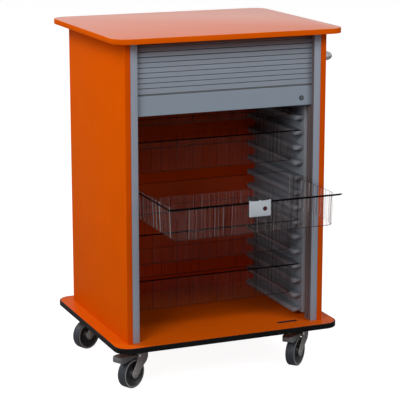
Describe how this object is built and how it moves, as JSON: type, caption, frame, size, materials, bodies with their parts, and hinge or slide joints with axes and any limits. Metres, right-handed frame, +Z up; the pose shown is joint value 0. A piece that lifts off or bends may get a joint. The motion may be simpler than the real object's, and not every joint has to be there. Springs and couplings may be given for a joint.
{
  "type": "bin trolley",
  "caption": "Wheeled orange cabinet with a grey roller shutter, a push handle and clear ribbed bins on moulded side ledges; the middle bin is pulled out",
  "frame": {"origin": "On the floor, under the middle of the box round the trolley with its middle bin pulled out as it stands at rest", "axes": "+X to the right seen from the front, -Y out of the front, +Z up"},
  "size_m": [0.8174, 0.8458, 1.163],
  "materials": {
    "orange_laminate": "satin laminate",
    "black_edge": "matt",
    "dowel_wood": "raw",
    "grey_aluminium": "satin painted",
    "grey_slats": "satin",
    "grey_ledges": "satin",
    "clear_plastic": "clear",
    "zinc_steel": "zinc plated",
    "chrome_lock": "polished",
    "handle_steel": "satin",
    "grey_fork": "satin",
    "dark_hub": "satin",
    "tyre_rubber": "matt",
    "white_card": "matt"
  },
  "bodies": {
    "cabinet": {"top_board": "orange_laminate", "base_board": "orange_laminate", "base_edge_band": "black_edge", "side_panel_left": "orange_laminate", "side_panel_right": "orange_laminate", "back_panel": "orange_laminate", "panel_dowels": "dowel_wood", "guide_track_left": "grey_aluminium", "guide_track_right": "grey_aluminium", "roller_brackets": "zinc_steel", "ledge_plate_left": "grey_ledges", "ledge_plate_right": "grey_ledges", "ledges_left": "grey_ledges", "ledges_right": "grey_ledges", "ledge_spacers": "grey_ledges", "ledge_screws": "zinc_steel", "push_handle": "handle_steel", "handle_rosettes": "grey_fork", "handle_inserts": "zinc_steel", "handle_screws": "zinc_steel", "caster_plates": "zinc_steel", "caster_screws": "zinc_steel"},
    "shutter": {"shutter_rail": "grey_aluminium", "shutter_curtain": "grey_slats"},
    "roller": {"shutter_coil": "grey_slats", "roller_tube": "zinc_steel", "roller_pins": "zinc_steel"},
    "lock": {"lock_cylinder": "chrome_lock"},
    "bolt": {"lock_bolt": "zinc_steel"},
    "tray_1": {"bin_1": "clear_plastic"},
    "tray_2": {"bin_2": "clear_plastic"},
    "tray_3": {"bin_3": "clear_plastic", "label_holder": "clear_plastic", "label_card": "white_card"},
    "tray_4": {"bin_4": "clear_plastic"},
    "tray_5": {"bin_5": "clear_plastic"},
    "swivel_front_left": {"fork_front_left": "grey_fork", "axle_front_left": "zinc_steel", "pedal_pin_left": "zinc_steel"},
    "wheel_front_left": {"hub_front_left": "dark_hub", "tyre_front_left": "tyre_rubber"},
    "brake_left": {"pedal_left": "grey_fork"},
    "swivel_front_right": {"fork_front_right": "grey_fork", "axle_front_right": "zinc_steel", "pedal_pin_right": "zinc_steel"},
    "wheel_front_right": {"hub_front_right": "dark_hub", "tyre_front_right": "tyre_rubber"},
    "brake_right": {"pedal_right": "grey_fork"},
    "swivel_rear_left": {"fork_rear_left": "grey_fork", "axle_rear_left": "zinc_steel"},
    "wheel_rear_left": {"hub_rear_left": "dark_hub", "tyre_rear_left": "tyre_rubber"},
    "swivel_rear_right": {"fork_rear_right": "grey_fork", "axle_rear_right": "zinc_steel"},
    "wheel_rear_right": {"hub_rear_right": "dark_hub", "tyre_rear_right": "tyre_rubber"}
  },
  "joints": [
    {"name": "shutter_slide", "type": "slide", "parent": "cabinet", "child": "shutter", "axis": [0, 0, 1], "range_m": [-0.24, 0.078], "deforming": ["shutter_curtain"]},
    {"name": "roller_spin", "type": "hinge", "parent": "cabinet", "child": "roller", "pos_m": [-0.00875, -0.1088, 1.086], "axis": [1, 0, 0], "range_deg": [-90, 272]},
    {"name": "lock_turn", "type": "hinge", "parent": "shutter", "child": "lock", "pos_m": [0.26475, -0.1661, 0.9295], "axis": [0, -1, 0], "range_deg": [0, 90]},
    {"name": "bolt_slide", "type": "slide", "parent": "shutter", "child": "bolt", "axis": [0, 0, -1], "range_m": [0, 0.0127]},
    {"name": "bin_1_slide", "type": "slide", "parent": "cabinet", "child": "tray_1", "axis": [0, -1, 0], "range_m": [0, 0.03]},
    {"name": "bin_2_slide", "type": "slide", "parent": "cabinet", "child": "tray_2", "axis": [0, -1, 0], "range_m": [0, 0.306]},
    {"name": "bin_3_slide", "type": "slide", "parent": "cabinet", "child": "tray_3", "axis": [0, -1, 0], "range_m": [-0.306, 0.02]},
    {"name": "bin_4_slide", "type": "slide", "parent": "cabinet", "child": "tray_4", "axis": [0, -1, 0], "range_m": [0, 0.306]},
    {"name": "bin_5_slide", "type": "slide", "parent": "cabinet", "child": "tray_5", "axis": [0, -1, 0], "range_m": [0, 0.306]},
    {"name": "swivel_front_left_turn", "type": "hinge", "parent": "cabinet", "child": "swivel_front_left", "pos_m": [-0.30575, -0.1301, 0.13], "axis": [0, 0, 1], "continuous": true},
    {"name": "wheel_front_left_spin", "type": "hinge", "parent": "swivel_front_left", "child": "wheel_front_left", "pos_m": [-0.33665, -0.14653, 0.05], "axis": [0.4695, -0.8829, 0], "continuous": true},
    {"name": "brake_left_press", "type": "hinge", "parent": "swivel_front_left", "child": "brake_left", "pos_m": [-0.31811, -0.13667, 0.108], "axis": [0.4695, -0.8829, 0], "range_deg": [0, 6]},
    {"name": "swivel_front_right_turn", "type": "hinge", "parent": "cabinet", "child": "swivel_front_right", "pos_m": [0.28825, -0.1301, 0.13], "axis": [0, 0, 1], "continuous": true},
    {"name": "wheel_front_right_spin", "type": "hinge", "parent": "swivel_front_right", "child": "wheel_front_right", "pos_m": [0.26144, -0.1526, 0.05], "axis": [0.6428, -0.766, 0], "continuous": true},
    {"name": "brake_right_press", "type": "hinge", "parent": "swivel_front_right", "child": "brake_right", "pos_m": [0.27753, -0.1391, 0.108], "axis": [0.6428, -0.766, 0], "range_deg": [0, 6]},
    {"name": "swivel_rear_left_turn", "type": "hinge", "parent": "cabinet", "child": "swivel_rear_left", "pos_m": [-0.30575, 0.3169, 0.13], "axis": [0, 0, 1], "continuous": true},
    {"name": "wheel_rear_left_spin", "type": "hinge", "parent": "swivel_rear_left", "child": "wheel_rear_left", "pos_m": [-0.33797, 0.30322, 0.05], "axis": [0.3907, -0.9205, 0], "continuous": true},
    {"name": "swivel_rear_right_turn", "type": "hinge", "parent": "cabinet", "child": "swivel_rear_right", "pos_m": [0.28825, 0.3169, 0.13], "axis": [0, 0, 1], "continuous": true},
    {"name": "wheel_rear_right_spin", "type": "hinge", "parent": "swivel_rear_right", "child": "wheel_rear_right", "pos_m": [0.2589, 0.29784, 0.05], "axis": [0.5446, -0.8387, 0], "continuous": true}
  ],
  "couplings": [
    {"joint": "roller_spin", "follows": "shutter_slide", "rad_per_m": -19.493},
    {"joint": "lock_turn", "follows": "bolt_slide", "rad_per_m": 123.41}
  ]
}
